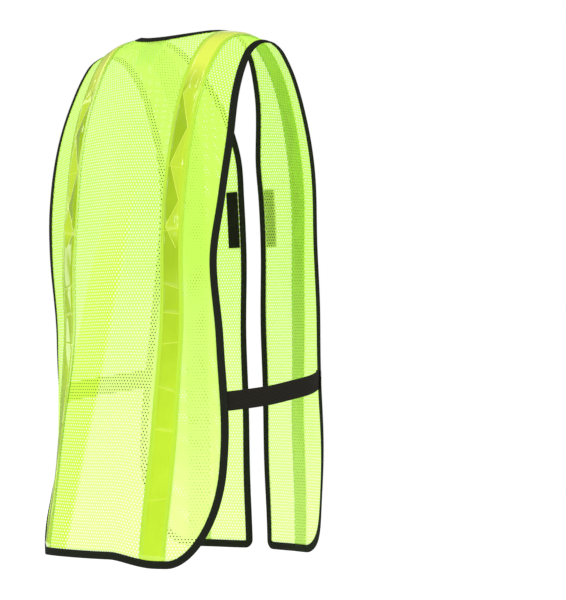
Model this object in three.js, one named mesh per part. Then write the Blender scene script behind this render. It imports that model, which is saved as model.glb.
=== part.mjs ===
// A high-visibility mesh safety vest, worn facing -Y, with +Z up and millimetres throughout.
// Every piece of cloth is laid out on one draped surface: s runs across the body, positive to the
// wearer's left, and t runs along the cloth from the shoulder ridge, positive down the back and
// negative down the front. A piece is a thin closed slab over a grid of (s, t) points.
import * as THREE from 'three';

// ---- driving dimensions, in mm ----
const HEM_DROP = 692;                // how far the back hem hangs below the ridge
const HEM_HALF_WIDTH = 187;          // flat cloth, centre to the finished side edge at the hem
const NECK_HALF_WIDTH = 72;          // shoulder ridge to centre, at the finished neck edge
const BACK_NECK_DEPTH = 46;          // along the cloth, at the centre back
const SHOULDER_TIP = 158;            // centre to the finished arm edge, at the ridge
const SHOULDER_DROP = 27;            // how far the tip lies below the neck end of the ridge
const SHOULDER_FADE = 240;           // length over which the cloth loses the shoulder slope
const CORNER_LENGTH = 122;           // how far up the side the rounded hem corners start
const FRONT_EDGE = 14;               // centre to each front edge, so the fronts hang 28 apart
const V_NECK_DEPTH = 215;            // where the V neck reaches the front edge
const CHEST_LINE = 170;              // the fronts swing below this line
const BINDING = 10;                  // finished width of the binding tape
const STRIP_WIDTH = 35;
const STRIP_TO_NECK = 1.5;           // from the neck binding to each glossy strip, at the ridge
const CORNER_TO_STRIP = 0.5;         // from each strip to where the hem starts to round off
const STRAP_WIDTH = 25;
const STRAP_BACK_T = 541;            // where the side straps are sewn on, along the cloth
const STRAP_FRONT_T = 516;
const STRAP_BULGE = 196;             // how far out the strap swings round the waist
const STRAP_SEWN = 9;                // length of strap that lies under the binding
const SEAM_TAPE = 12;
const PATCH_WIDTH = 20;
const PATCH_LENGTH = 76;
const PATCH_TOP = 262;
const LABEL_WIDTH = 40;
const LABEL_LENGTH = 48;
const LABEL_TOP = BACK_NECK_DEPTH + 4;   // its top edge is caught under the neck binding

// The strips run from beside the neck binding, and the hem rounds off outside them.
const STRIP_CENTRE = NECK_HALF_WIDTH + BINDING + STRIP_TO_NECK + STRIP_WIDTH / 2;
const CORNER_WIDTH = HEM_HALF_WIDTH - STRIP_CENTRE - STRIP_WIDTH / 2 - CORNER_TO_STRIP;

// ---- thicknesses and clearances ----
const MESH = 0.8;
const BINDING_THICK = 2.4;
const STRIP_THICK = 0.8;
const STRAP_THICK = 1.4;
const TAPE_THICK = 0.6;
const PATCH_THICK = 1.4;
const LABEL_THICK = 0.4;
const GAP = 0.3;                     // between layers that lie on each other
const EDGE_GAP = 0.5;                // between a panel and the binding round it
const STRAP_GAP = 1.0;
const SWING_GAP = 0.6;                // between the fixed and the swinging part of each front
const PATCH_GAP = 0.8;               // patches and label stand a little off the curved cloth

// ---- the drape ----
// Below the shoulder blades the drape was shaped for a hem drop of 692, and it stretches with the
// hem. Above them it follows the body, so it stays.
const BLADE_DROP = 190;
const STRETCH = (HEM_DROP - BLADE_DROP) / (692 - BLADE_DROP);
function stretched(distance) {
  const size = Math.abs(distance);
  if (size <= BLADE_DROP) return distance;
  return Math.sign(distance) * (BLADE_DROP + (size - BLADE_DROP) * STRETCH);
}

// Centre profile (y, z), from the front hem over the ridge to the back hem.
const PROFILE = [
  [-134, -690], [-130, -560], [-126, -420], [-124, -290], [-117, -180], [-103, -108],
  [-78, -50], [-50, -16], [-24, -3], [0, 0], [26, -4], [52, -18], [79, -54], [103, -115],
  [118, -190], [127, -290], [132, -400], [148, -520], [163, -640], [168, -692],
].map(([y, z]) => [y, stretched(z)]);
const RIDGE = 9;                     // index of the ridge point above

// Section curvature in 1/m against t, signed so that both sides wrap round the body.
const CURVATURE = [
  [-750, -3.2], [-450, -2.8], [-280, -2.4], [-130, -2.1], [-60, -1.5], [0, 0], [60, 1.5],
  [130, 2.1], [250, 2.1], [360, 2.4], [465, 3.3], [590, 4.4], [750, 4.0],
].map(([t, k]) => [stretched(t), k]);

// Finished half width against t, before the hem corners are rounded.
const HALF_WIDTH = [
  [-750, HEM_HALF_WIDTH], [-600, HEM_HALF_WIDTH], [-450, HEM_HALF_WIDTH - 14], [-280, 157],
  [-130, 155], [0, SHOULDER_TIP], [110, 168], [190, 178], [275, 176], [365, 168],
  [470, HEM_HALF_WIDTH - 12], [590, HEM_HALF_WIDTH], [750, HEM_HALF_WIDTH],
].map(([t, half]) => [stretched(t), half]);

// Where the front edge lies against t.
const V_EDGE = [
  [stretched(-750), FRONT_EDGE], [-V_NECK_DEPTH - 60, FRONT_EDGE], [-V_NECK_DEPTH, FRONT_EDGE + 1],
  [-V_NECK_DEPTH * 0.6, 36], [-V_NECK_DEPTH * 0.28, 57], [0, NECK_HALF_WIDTH],
];

// Smooth curve through [x, y, ...] rows, by cubic Hermite pieces with finite-difference slopes.
function smooth(rows) {
  const xs = rows.map((row) => row[0]);
  const width = rows[0].length - 1;
  const slope = (i, k) => {
    const a = Math.max(i - 1, 0);
    const b = Math.min(i + 1, rows.length - 1);
    return (rows[b][k] - rows[a][k]) / (xs[b] - xs[a]);
  };
  return (x) => {
    let i = 0;
    while (i < xs.length - 2 && x > xs[i + 1]) i += 1;
    const h = xs[i + 1] - xs[i];
    const u = (x - xs[i]) / h;
    const out = [];
    for (let k = 1; k <= width; k += 1) {
      const value = (2 * u ** 3 - 3 * u ** 2 + 1) * rows[i][k]
        + (u ** 3 - 2 * u ** 2 + u) * h * slope(i, k)
        + (3 * u ** 2 - 2 * u ** 3) * rows[i + 1][k]
        + (u ** 3 - u ** 2) * h * slope(i + 1, k);
      out.push(value);
    }
    return out;
  };
}

// The profile against arc length, with t = 0 at the ridge.
function profileByLength() {
  const lengths = [0];
  for (let i = 1; i < PROFILE.length; i += 1) {
    const dy = PROFILE[i][0] - PROFILE[i - 1][0];
    const dz = PROFILE[i][1] - PROFILE[i - 1][1];
    lengths.push(lengths[i - 1] + Math.hypot(dy, dz));
  }
  return PROFILE.map(([y, z], i) => [lengths[i] - lengths[RIDGE], y, z]);
}

const profileRows = profileByLength();
const FRONT_HEM = -profileRows[0][0];
const BACK_HEM = profileRows[profileRows.length - 1][0];
const profileAt = smooth(profileRows);
const curvatureAt = smooth(CURVATURE);
const halfWidthAt = smooth(HALF_WIDTH);
const vEdgeAt = smooth(V_EDGE);

// A point of the draped surface.
function draped(s, t) {
  const [y, z] = profileAt(t);
  const k = curvatureAt(t)[0] / 1000;
  const flat = Math.abs(k) < 1e-6;
  const x = flat ? s : Math.sin(s * k) / k;
  const wrap = flat ? 0 : (1 - Math.cos(s * k)) / k;
  const drop = SHOULDER_DROP * (s / SHOULDER_TIP) ** 2 * Math.exp(-((t / SHOULDER_FADE) ** 2));
  return new THREE.Vector3(x, y - wrap, z - drop);
}

// The surface's outward normal, by central differences.
function outward(s, t) {
  const step = 1;
  const across = draped(s + step, t).sub(draped(s - step, t));
  const along = draped(s, t + step).sub(draped(s, t - step));
  return across.cross(along).normalize();
}

// A closed slab from two matching layers of points, each rows x columns.
function slab(under, over) {
  const rows = under.length;
  const cols = under[0].length;
  const vertices = [...under.flat(), ...over.flat()].flatMap((p) => [p.x, p.y, p.z]);
  const low = (r, c) => r * cols + c;
  const high = (r, c) => rows * cols + r * cols + c;
  const index = [];
  const quad = (a, b, c, d) => index.push(a, b, c, a, c, d);
  for (let r = 0; r < rows - 1; r += 1) {
    for (let c = 0; c < cols - 1; c += 1) {
      quad(high(r, c), high(r + 1, c), high(r + 1, c + 1), high(r, c + 1));
      quad(low(r, c), low(r, c + 1), low(r + 1, c + 1), low(r + 1, c));
    }
  }
  for (let r = 0; r < rows - 1; r += 1) {
    quad(low(r, 0), low(r + 1, 0), high(r + 1, 0), high(r, 0));
    quad(high(r, cols - 1), high(r + 1, cols - 1), low(r + 1, cols - 1), low(r, cols - 1));
  }
  for (let c = 0; c < cols - 1; c += 1) {
    quad(high(0, c), high(0, c + 1), low(0, c + 1), low(0, c));
    quad(low(rows - 1, c), low(rows - 1, c + 1), high(rows - 1, c + 1), high(rows - 1, c));
  }
  const geometry = new THREE.BufferGeometry();
  geometry.setAttribute('position', new THREE.Float32BufferAttribute(vertices, 3));
  geometry.setIndex(facingOut(vertices, index));
  geometry.computeVertexNormals();
  return geometry;
}

// Turns the faces round if the solid would be inside out.
function facingOut(vertices, index) {
  const corner = (i) => new THREE.Vector3().fromArray(vertices, 3 * i);
  let volume = 0;
  for (let i = 0; i < index.length; i += 3) {
    const cross = corner(index[i + 1]).cross(corner(index[i + 2]));
    volume += corner(index[i]).dot(cross);
  }
  return volume > 0 ? index : [...index].reverse();
}

// The grid with s and t both rising, so that layered pieces split their squares the same way.
function rising(grid) {
  const last = grid[grid.length - 1];
  const rows = grid[0][0][1] > last[0][1] ? [...grid].reverse() : grid;
  const turned = rows[0][0][0] > rows[0][rows[0].length - 1][0];
  return turned ? rows.map((row) => [...row].reverse()) : rows;
}

// A slab of cloth over a grid of [s, t], between two heights above the surface.
function cloth(grid, low, high) {
  const layer = (height) => rising(grid).map((row) => row.map(
    ([s, t]) => draped(s, t).addScaledVector(outward(s, t), height),
  ));
  return slab(layer(low), layer(high));
}

// ---- rows shared by everything that lies side by side or on each other ----
const steps = (from, to, count) => Array.from(
  { length: count + 1 },
  (_, i) => from + ((to - from) * i) / count,
);

const YOKE_ROWS = [SEAM_TAPE / 2, 16, 30, 47, 68, 95, 130];
const CORNER_ANGLES = steps(0, Math.PI / 2, 6);
const NECK_ANGLES = [0, 0.25, 0.55, 0.85, 1.15, 1.37, Math.PI / 2];

// The t of the corner rows at a given inset from the finished hem.
const cornerT = (hem, inset, angle) => (
  hem - CORNER_LENGTH + (CORNER_LENGTH - inset) * Math.sin(angle)
);

// The half width at a corner row, at a given inset.
function cornerS(hem, side, inset, angle) {
  const full = halfWidthAt(side * (hem - CORNER_LENGTH))[0];
  return full - CORNER_WIDTH + (CORNER_WIDTH - inset) * Math.cos(angle);
}

const PANEL_INSET = BINDING + EDGE_GAP;
const BACK_STRAIGHT = [...YOKE_ROWS, ...steps(CHEST_LINE, BACK_HEM - CORNER_LENGTH, 9)];
const FRONT_STRAIGHT = steps(CHEST_LINE, FRONT_HEM - CORNER_LENGTH, 8);
const stripColumns = [
  STRIP_CENTRE - STRIP_WIDTH / 2,
  STRIP_CENTRE,
  STRIP_CENTRE + STRIP_WIDTH / 2,
];

// Columns from the neck side to the arm side of one half, at one row.
function halfColumns(inner, outer) {
  const [near, middle, far] = stripColumns;
  return [inner, (inner + near) / 2, near, middle, far, (far + outer) / 2, outer];
}

// One row of the back panel: the neck curve shifts the columns between the strips.
function backRow(t, outer) {
  const neckA = NECK_HALF_WIDTH + PANEL_INSET;
  const neckB = BACK_NECK_DEPTH + PANEL_INSET;
  const end = BACK_HEM - PANEL_INSET;
  const centre = [...NECK_ANGLES].reverse().map((angle) => {
    const neck = neckB * Math.sin(angle);
    return [neckA * Math.cos(angle), neck + (t * (end - neck)) / end];
  });
  const [near, middle, far] = stripColumns;
  const side = [near, middle, far, (far + outer) / 2, outer].map((s) => [s, t]);
  const half = [...centre, ...side];
  const mirrored = half.slice(1).reverse().map(([s, u]) => [-s, u]);
  return [...mirrored, ...half];
}

function backPanel() {
  const rows = [GAP / 2, ...BACK_STRAIGHT].map(
    (t) => backRow(t, halfWidthAt(t)[0] - PANEL_INSET),
  );
  CORNER_ANGLES.slice(1).forEach((angle) => {
    const t = cornerT(BACK_HEM, PANEL_INSET, angle);
    rows.push(backRow(t, cornerS(BACK_HEM, 1, PANEL_INSET, angle)));
  });
  return cloth(rows, -MESH / 2, MESH / 2);
}

// The fixed upper part of one front, from the shoulder seam to the chest line.
function yokePanel(side) {
  const rows = [GAP / 2, ...YOKE_ROWS, CHEST_LINE - SWING_GAP].map((t) => {
    const inner = vEdgeAt(-t)[0] + PANEL_INSET;
    const outer = halfWidthAt(-t)[0] - PANEL_INSET;
    return halfColumns(inner, outer).map((s) => [side * s, -t]);
  });
  return cloth(rows, -MESH / 2, MESH / 2);
}

// The lower part of one front, which swings.
function frontPanel(side) {
  const rows = FRONT_STRAIGHT.map((t) => {
    const inner = vEdgeAt(-t)[0] + PANEL_INSET;
    return halfColumns(inner, halfWidthAt(-t)[0] - PANEL_INSET).map((s) => [side * s, -t]);
  });
  CORNER_ANGLES.slice(1).forEach((angle) => {
    const t = cornerT(FRONT_HEM, PANEL_INSET, angle);
    const outer = cornerS(FRONT_HEM, -1, PANEL_INSET, angle);
    const inner = vEdgeAt(-t)[0] + PANEL_INSET;
    rows.push(halfColumns(inner, outer).map((s) => [side * s, -t]));
  });
  return cloth(rows, -MESH / 2, MESH / 2);
}

const bindingSlab = (pairs) => cloth(pairs, -BINDING_THICK / 2, BINDING_THICK / 2);

// Binding down one open side: from the back corner over the shoulder tip to the chest line.
function armholeBinding(side) {
  const back = [...BACK_STRAIGHT].reverse();
  const front = [...YOKE_ROWS, CHEST_LINE - SWING_GAP].map((t) => -t);
  const pairs = [...back, 0, ...front].map((t) => {
    const edge = halfWidthAt(t)[0];
    return [[side * (edge - BINDING), t], [side * edge, t]];
  });
  return bindingSlab(pairs);
}

// Binding round the neck: up one front, round the back neck and down the other front.
function neckBinding() {
  const front = [CHEST_LINE - SWING_GAP, ...[...YOKE_ROWS].reverse()].map((t) => -t);
  const limb = (side) => front.map((t) => {
    const edge = vEdgeAt(t)[0];
    return [[side * (edge + BINDING), t], [side * edge, t]];
  });
  const around = [...NECK_ANGLES, ...NECK_ANGLES.slice(0, -1).reverse().map((a) => Math.PI - a)];
  const arc = around.map((angle) => [BINDING, 0].map((inset) => [
    -(NECK_HALF_WIDTH + inset) * Math.cos(angle),
    (BACK_NECK_DEPTH + inset) * Math.sin(angle),
  ]));
  return bindingSlab([...limb(-1), ...arc, ...limb(1).reverse()]);
}

// Binding along a hem and round one of its corners, as pairs from the corner inwards.
function cornerPairs(hem, way, side) {
  return CORNER_ANGLES.map((angle) => [0, BINDING].map((inset) => {
    const t = cornerT(hem, inset, angle);
    return [side * cornerS(hem, way, inset, angle), way * (angle === 0 ? t + GAP : t)];
  }));
}

function backHemBinding() {
  const [near, middle] = stripColumns;
  const straight = [-middle, -near, -40, 0, 40, near, middle].map(
    (s) => [[s, BACK_HEM], [s, BACK_HEM - BINDING]],
  );
  const left = cornerPairs(BACK_HEM, 1, 1).reverse();
  return bindingSlab([...cornerPairs(BACK_HEM, 1, -1), ...straight, ...left]);
}

function frontHemBinding(side) {
  const straight = [stripColumns[1], stripColumns[0], 48, FRONT_EDGE].map(
    (s) => [[side * s, -FRONT_HEM], [side * s, BINDING - FRONT_HEM]],
  );
  return bindingSlab([...cornerPairs(FRONT_HEM, -1, side), ...straight]);
}

function frontSideBinding(side) {
  return bindingSlab(FRONT_STRAIGHT.map((t) => {
    const edge = halfWidthAt(-t)[0];
    return [[side * (edge - BINDING), -t], [side * edge, -t]];
  }));
}

function frontEdgeBinding(side) {
  const end = FRONT_HEM - BINDING - EDGE_GAP;
  const rows = [...FRONT_STRAIGHT, ...steps(FRONT_HEM - CORNER_LENGTH, end, 3).slice(1)];
  return bindingSlab(rows.map((t) => {
    const edge = vEdgeAt(-t)[0];
    return [[side * edge, -t], [side * (edge + BINDING), -t]];
  }));
}

// A glossy strip lies on the outer face of the mesh.
function strip(side, rows) {
  const low = MESH / 2 + GAP;
  const grid = rows.map((t) => stripColumns.map((s) => [side * s, t]));
  return cloth(grid, low, low + STRIP_THICK);
}

function longStrip(side) {
  const corners = CORNER_ANGLES.slice(1).map((angle) => cornerT(BACK_HEM, PANEL_INSET, angle));
  const back = [...BACK_STRAIGHT, ...corners].reverse();
  const front = [...YOKE_ROWS, CHEST_LINE - SWING_GAP].map((t) => -t);
  return strip(side, [...back, 0, ...front]);
}

function frontStrip(side) {
  const corners = CORNER_ANGLES.slice(1).map((angle) => cornerT(FRONT_HEM, PANEL_INSET, angle));
  return strip(side, [...FRONT_STRAIGHT, ...corners].map((t) => -t));
}

// Tape sewn over the shoulder seam, inside.
function seamTape(side) {
  const [near, middle, far] = stripColumns;
  const end = SHOULDER_TIP - PANEL_INSET - GAP;
  const columns = [near + GAP, middle, far, (far + end) / 2, end];
  const grid = [-1, 0, 1].map((row) => columns.map((s) => [side * s, (row * SEAM_TAPE) / 2]));
  const top = -MESH / 2 - GAP;
  return cloth(grid, top - TAPE_THICK, top);
}

// The elastic side strap: sewn under the binding at both ends and bowed out between them.
function sideStrap(side) {
  const depth = -(BINDING_THICK / 2 + STRAP_GAP + STRAP_THICK / 2);
  const under = (t, inset) => {
    const s = side * (halfWidthAt(t)[0] - inset);
    return draped(s, t).addScaledVector(outward(s, t), depth);
  };
  const back = [under(STRAP_BACK_T, STRAP_SEWN), under(STRAP_BACK_T, 0)];
  const front = [under(-STRAP_FRONT_T, 0), under(-STRAP_FRONT_T, STRAP_SEWN)];
  const height = (share) => THREE.MathUtils.lerp(back[1].z, front[0].z, share);
  const waist = [
    new THREE.Vector3(side * STRAP_BULGE, 38, height(0.25)),
    new THREE.Vector3(side * (STRAP_BULGE + 3), 0, height(0.5)),
    new THREE.Vector3(side * (STRAP_BULGE - 4), -42, height(0.75)),
  ];
  const route = new THREE.CatmullRomCurve3([...back, ...waist, ...front], false, 'centripetal');
  const stations = steps(0, 1, 20).map((u) => {
    const tangent = route.getTangentAt(u);
    const out = new THREE.Vector3(side * -tangent.y, side * tangent.x, 0).normalize();
    return { point: route.getPointAt(u), out };
  });
  const layer = (height) => stations.map(({ point, out }) => [-1, 1].map((end) => {
    const edge = point.clone().addScaledVector(out, height);
    edge.z += (end * STRAP_WIDTH) / 2;
    return edge;
  }));
  return slab(layer(-STRAP_THICK / 2), layer(STRAP_THICK / 2));
}

// A closure patch beside a front edge, on the inner or the outer face.
function closurePatch(side, outside) {
  const columns = [0, 1].map((end) => FRONT_EDGE + PANEL_INSET + GAP + end * PATCH_WIDTH);
  const rows = steps(PATCH_TOP, PATCH_TOP + PATCH_LENGTH, 3);
  const grid = rows.map((t) => columns.map((s) => [side * s, -t]));
  const near = MESH / 2 + PATCH_GAP;
  const heights = outside ? [near, near + PATCH_THICK] : [-near - PATCH_THICK, -near];
  return cloth(grid, ...heights);
}

function careLabel() {
  const rows = steps(LABEL_TOP, LABEL_TOP + LABEL_LENGTH, 4);
  const grid = rows.map((t) => steps(-LABEL_WIDTH / 2, LABEL_WIDTH / 2, 4).map((s) => [s, t]));
  const top = -BINDING_THICK / 2 - PATCH_GAP;
  return cloth(grid, top - LABEL_THICK, top);
}

// ---- materials ----
const finishes = {
  mesh: [0xd6fb6e, 0.8],
  binding: [0x1e2118, 0.85],
  strip: [0xbfe034, 0.18],
  elastic: [0x1e1c18, 0.9],
  hookAndLoop: [0x15160f, 0.95],
  seamTape: [0xcdf25a, 0.8],
  label: [0xf2f4ee, 0.7],
};

function add(group, name, geometry, finish) {
  const [color, roughness] = finishes[finish];
  const material = new THREE.MeshStandardMaterial({ color, roughness, metalness: 0 });
  const mesh = new THREE.Mesh(geometry, material);
  mesh.name = name;
  group.add(mesh);
}

const group = new THREE.Group();
add(group, 'back_mesh_panel', backPanel(), 'mesh');
add(group, 'neck_binding', neckBinding(), 'binding');
add(group, 'back_hem_binding', backHemBinding(), 'binding');
add(group, 'care_label', careLabel(), 'label');
[['left', 1], ['right', -1]].forEach(([hand, side]) => {
  add(group, `${hand}_yoke_mesh_panel`, yokePanel(side), 'mesh');
  add(group, `${hand}_armhole_binding`, armholeBinding(side), 'binding');
  add(group, `${hand}_long_strip`, longStrip(side), 'strip');
  add(group, `${hand}_shoulder_seam_tape`, seamTape(side), 'seamTape');
  add(group, `${hand}_side_strap`, sideStrap(side), 'elastic');
  add(group, `${hand}_front_mesh_panel`, frontPanel(side), 'mesh');
  add(group, `${hand}_front_strip`, frontStrip(side), 'strip');
  add(group, `${hand}_front_edge_binding`, frontEdgeBinding(side), 'binding');
  add(group, `${hand}_front_side_binding`, frontSideBinding(side), 'binding');
  add(group, `${hand}_front_hem_binding`, frontHemBinding(side), 'binding');
});
add(group, 'hook_patch', closurePatch(1, false), 'hookAndLoop');
add(group, 'loop_patch', closurePatch(-1, true), 'hookAndLoop');

export default group;
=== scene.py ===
# %% [markdown]
# # A high-visibility mesh vest, in cells
# The vest is a sheet of knitted, perforated polyester with a black bound edge, two glossy vinyl
# strips over the shoulders and an elastic strap at each side. Its cloth hangs in one smooth shape,
# so this lesson first writes that shape as a formula on the flat pattern, and then lays every
# piece on it: the net, the binding, the strips, the stitches. Working on the flat pattern keeps
# widths true and keeps the layers from cutting through each other.

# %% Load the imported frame
import math

import bmesh
import bpy
import numpy as np
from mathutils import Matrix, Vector


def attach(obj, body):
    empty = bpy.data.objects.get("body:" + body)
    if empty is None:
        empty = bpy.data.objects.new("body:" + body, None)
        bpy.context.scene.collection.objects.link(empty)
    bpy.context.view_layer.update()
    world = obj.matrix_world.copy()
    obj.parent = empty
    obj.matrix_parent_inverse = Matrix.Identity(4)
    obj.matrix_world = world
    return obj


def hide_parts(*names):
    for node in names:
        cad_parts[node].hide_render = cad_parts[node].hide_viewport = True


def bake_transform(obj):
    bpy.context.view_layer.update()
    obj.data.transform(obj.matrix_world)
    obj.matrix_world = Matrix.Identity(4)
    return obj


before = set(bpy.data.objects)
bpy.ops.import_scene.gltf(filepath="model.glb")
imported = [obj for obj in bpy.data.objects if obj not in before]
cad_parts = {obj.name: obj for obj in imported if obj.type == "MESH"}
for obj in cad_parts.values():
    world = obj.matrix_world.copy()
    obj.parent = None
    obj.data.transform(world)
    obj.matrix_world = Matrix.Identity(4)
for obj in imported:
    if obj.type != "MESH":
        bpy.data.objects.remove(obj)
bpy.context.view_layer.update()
MM = 0.001

# %% [markdown]
# ## The camera
# A long lens from a little over four metres, at the height of the waist, behind the wearer's right
# shoulder. A long lens keeps the strips nearly parallel. It is aimed a little to one side of the
# vest, where the wearer's arm would be.

# %% Camera
VIEW_AZIMUTH = math.radians(227.7)
VIEW_DISTANCE = 4.385
VIEW_HEIGHT = -0.456
LENS = 198.9
AIM_RIGHT = 0.129
AIM_UP = 0.099


def new_object(name, data):
    """Puts a mesh, a camera or a lamp into the scene."""
    obj = bpy.data.objects.new(name, data)
    bpy.context.collection.objects.link(obj)
    return obj


ahead = Vector((-math.sin(VIEW_AZIMUTH), math.cos(VIEW_AZIMUTH), 0))
rightward = Vector((ahead.y, -ahead.x, 0))
eye = -ahead * VIEW_DISTANCE + Vector((0, 0, VIEW_HEIGHT))
aim = rightward * AIM_RIGHT + Vector((0, 0, VIEW_HEIGHT + AIM_UP))
camera = new_object("camera", bpy.data.cameras.new("camera"))
camera.data.lens = LENS
camera.data.clip_end = 100
camera.location = eye
camera.rotation_euler = (aim - eye).to_track_quat("-Z", "Y").to_euler()
bpy.context.scene.camera = camera
print("camera at", [round(c, 2) for c in eye])

# %% [markdown]
# ## The flat pattern and how it hangs
# s runs across the cloth from the centre, positive to the wearer's left, and t runs along it from
# the shoulder ridge: positive down the back, negative down the front. All are in millimetres.
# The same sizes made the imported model, so each piece lands where the model says. Only the dip of
# the back hem is added here.

# %% Sizes of the pattern, in mm
NECK_HALF_WIDTH = 72
BACK_NECK_DEPTH = 46
SHOULDER_TIP = 158
SHOULDER_DROP = 27
SHOULDER_FADE = 240
HEM_HALF_WIDTH = 187
CORNER_LENGTH = 122
FRONT_EDGE = 14
V_NECK_DEPTH = 215
BINDING = 10
STRIP_WIDTH = 35
NECK_TO_STRIP, STRIP_TO_CORNER = 1.5, 0.5
STRIP_CENTRE = NECK_HALF_WIDTH + BINDING + NECK_TO_STRIP + STRIP_WIDTH / 2
CORNER_WIDTH = HEM_HALF_WIDTH - STRIP_CENTRE - STRIP_WIDTH / 2 - STRIP_TO_CORNER
STRAP_WIDTH = 25
STRAP_BACK_T = 541
STRAP_FRONT_T = 516
STRAP_BULGE = 196
HANDS = (("left", 1), ("right", -1))
# The stiff right strip pulls its corner of the back hem down: how far, and over which t and -s.
HEM_DIP, DIP_ALONG, DIP_ACROSS = 10, (470, 700), (35, 105)

# The section through the centre as (y, z) from front hem to back hem; RIDGE is the shoulder's row.
PROFILE = [
    (-134, -690), (-130, -560), (-126, -420), (-124, -290), (-117, -180), (-103, -108),
    (-78, -50), (-50, -16), (-24, -3), (0, 0), (26, -4), (52, -18), (79, -54), (103, -115),
    (118, -190), (127, -290), (132, -400), (148, -520), (163, -640), (168, -692),
]
RIDGE = 9
# Rows of (t, ...): how far the cloth curves round the body per metre, and its edges.
CURVATURE = [
    (-750, -3.2), (-450, -2.8), (-280, -2.4), (-130, -2.1), (-60, -1.5), (0, 0), (60, 1.5),
    (130, 2.1), (250, 2.1), (360, 2.4), (465, 3.3), (590, 4.4), (750, 4.0),
]
HALF_WIDTH = [
    (-750, 187), (-600, 187), (-450, 173), (-280, 157), (-130, 155), (0, SHOULDER_TIP),
    (110, 168), (190, 178), (275, 176), (365, 168), (470, 175), (590, 187), (750, 187),
]
V_EDGE = [
    (-750, FRONT_EDGE), (-V_NECK_DEPTH - 60, FRONT_EDGE), (-V_NECK_DEPTH, FRONT_EDGE + 1),
    (-V_NECK_DEPTH * 0.6, 36), (-V_NECK_DEPTH * 0.28, 57), (0, NECK_HALF_WIDTH),
]


# %% The draped surface
def walked(path):
    """The distance along a path to each of its points."""
    steps = np.linalg.norm(np.diff(np.asarray(path, float), axis=0), axis=1)
    return np.concatenate([[0], np.cumsum(steps)])


def smooth(rows):
    """A smooth curve through rows of (x, y, ...), as a function of an array of x."""
    table = np.array(rows, float)
    xs, ys = table[:, 0], table[:, 1:]
    last = len(xs) - 1
    after = np.minimum(np.arange(len(xs)) + 1, last)
    before = np.maximum(np.arange(len(xs)) - 1, 0)
    slopes = (ys[after] - ys[before]) / (xs[after] - xs[before])[:, None]

    def at(x):
        x = np.asarray(x, float)
        i = np.clip(np.searchsorted(xs, x, side="left") - 1, 0, last - 1)
        h = xs[i + 1] - xs[i]
        u = ((x - xs[i]) / h)[..., None]
        h = h[..., None]
        start = (2 * u**3 - 3 * u**2 + 1) * ys[i] + (u**3 - 2 * u**2 + u) * h * slopes[i]
        end = (3 * u**2 - 2 * u**3) * ys[i + 1] + (u**3 - u**2) * h * slopes[i + 1]
        return start + end

    return at


lengths = walked(PROFILE)
lengths -= lengths[RIDGE]
FRONT_HEM, BACK_HEM = -lengths[0], lengths[-1]
profile_at = smooth([(t, y, z) for t, (y, z) in zip(lengths, PROFILE)])
curvature_at = smooth(CURVATURE)
half_width_at = smooth(HALF_WIDTH)
v_edge_at = smooth(V_EDGE)


def fade(x, start, end):
    """Rises softly from 0 at start to 1 at end."""
    u = np.clip((x - start) / (end - start), 0, 1)
    return u * u * (3 - 2 * u)


def body_shape(s, t):
    """The smooth hanging shape, without small folds."""
    y, z = np.moveaxis(profile_at(t), -1, 0)
    k = curvature_at(t)[..., 0] * MM
    k = np.where(np.abs(k) < 1e-6, 1e-6, k)
    drop = SHOULDER_DROP * (s / SHOULDER_TIP) ** 2 * np.exp(-((t / SHOULDER_FADE) ** 2))
    drop = drop + HEM_DIP * fade(t, *DIP_ALONG) * fade(-s, *DIP_ACROSS)
    return np.stack([np.sin(s * k) / k, y - (1 - np.cos(s * k)) / k, z - drop], -1)


def outward(s, t):
    across = body_shape(s + 1, t) - body_shape(s - 1, t)
    along = body_shape(s, t + 1) - body_shape(s, t - 1)
    n = np.cross(across, along)
    return n / np.linalg.norm(n, axis=-1, keepdims=True)


print("cloth length, mm: back", round(BACK_HEM), "front", round(FRONT_HEM))

# %% [markdown]
# ## Small folds
# Light cloth never hangs as smoothly as a formula. A cloth simulation would need a wearer inside to
# collide with, and the stiff strips and bound edges hold this vest nearly still, so the folds are
# written directly: soft vertical waves that grow towards the hem, and one long slanting fold
# across the left of the back. Every layer shares them, so the layers never cut through each other.

# %% Folds of the cloth, in mm
FOLD_TOP = (-20, 250)
FOLD_FOOT = (112, 735)
FOLD_HEIGHT = 5.0
FOLD_HALF_WIDTH = (22, 62)
FOLD_LENGTH = FOLD_FOOT[1] - FOLD_TOP[1]
FOLD_LEAN = (FOLD_FOOT[0] - FOLD_TOP[0]) / FOLD_LENGTH
FOLD_WIDENING = (FOLD_HALF_WIDTH[1] - FOLD_HALF_WIDTH[0]) / FOLD_LENGTH


def folds(s, t):
    along = (t - FOLD_TOP[1]) / FOLD_LENGTH
    centre = FOLD_TOP[0] + along * (FOLD_FOOT[0] - FOLD_TOP[0])
    wide = FOLD_HALF_WIDTH[0] + along * (FOLD_HALF_WIDTH[1] - FOLD_HALF_WIDTH[0])
    inside = (s - centre) / np.maximum(wide, 8)
    slant = FOLD_HEIGHT * fade(inside, -1.12, -0.8) * (1 - fade(inside, -0.7, 1.1))
    slant = slant * fade(t, FOLD_TOP[1] - 60, FOLD_TOP[1] + 130)
    drop = np.abs(t)
    waves = 2.2 * np.sin(s / 23 + t / 170) + 1.0 * np.sin(s / 12.5 - t / 110 + 1.1)
    waves = waves * fade(drop, 230, 620)
    upper = 0.8 * np.sin(t / 31 + s / 47) * fade(drop, 60, 160)
    return slant + waves + upper


def draped(s, t, height=0.0):
    """Points in metres, at a height in mm above the cloth."""
    s, t = np.broadcast_arrays(np.asarray(s, float), np.asarray(t, float))
    lift = np.asarray(folds(s, t) + height)[..., None]
    return (body_shape(s, t) + outward(s, t) * lift) * MM


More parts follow.
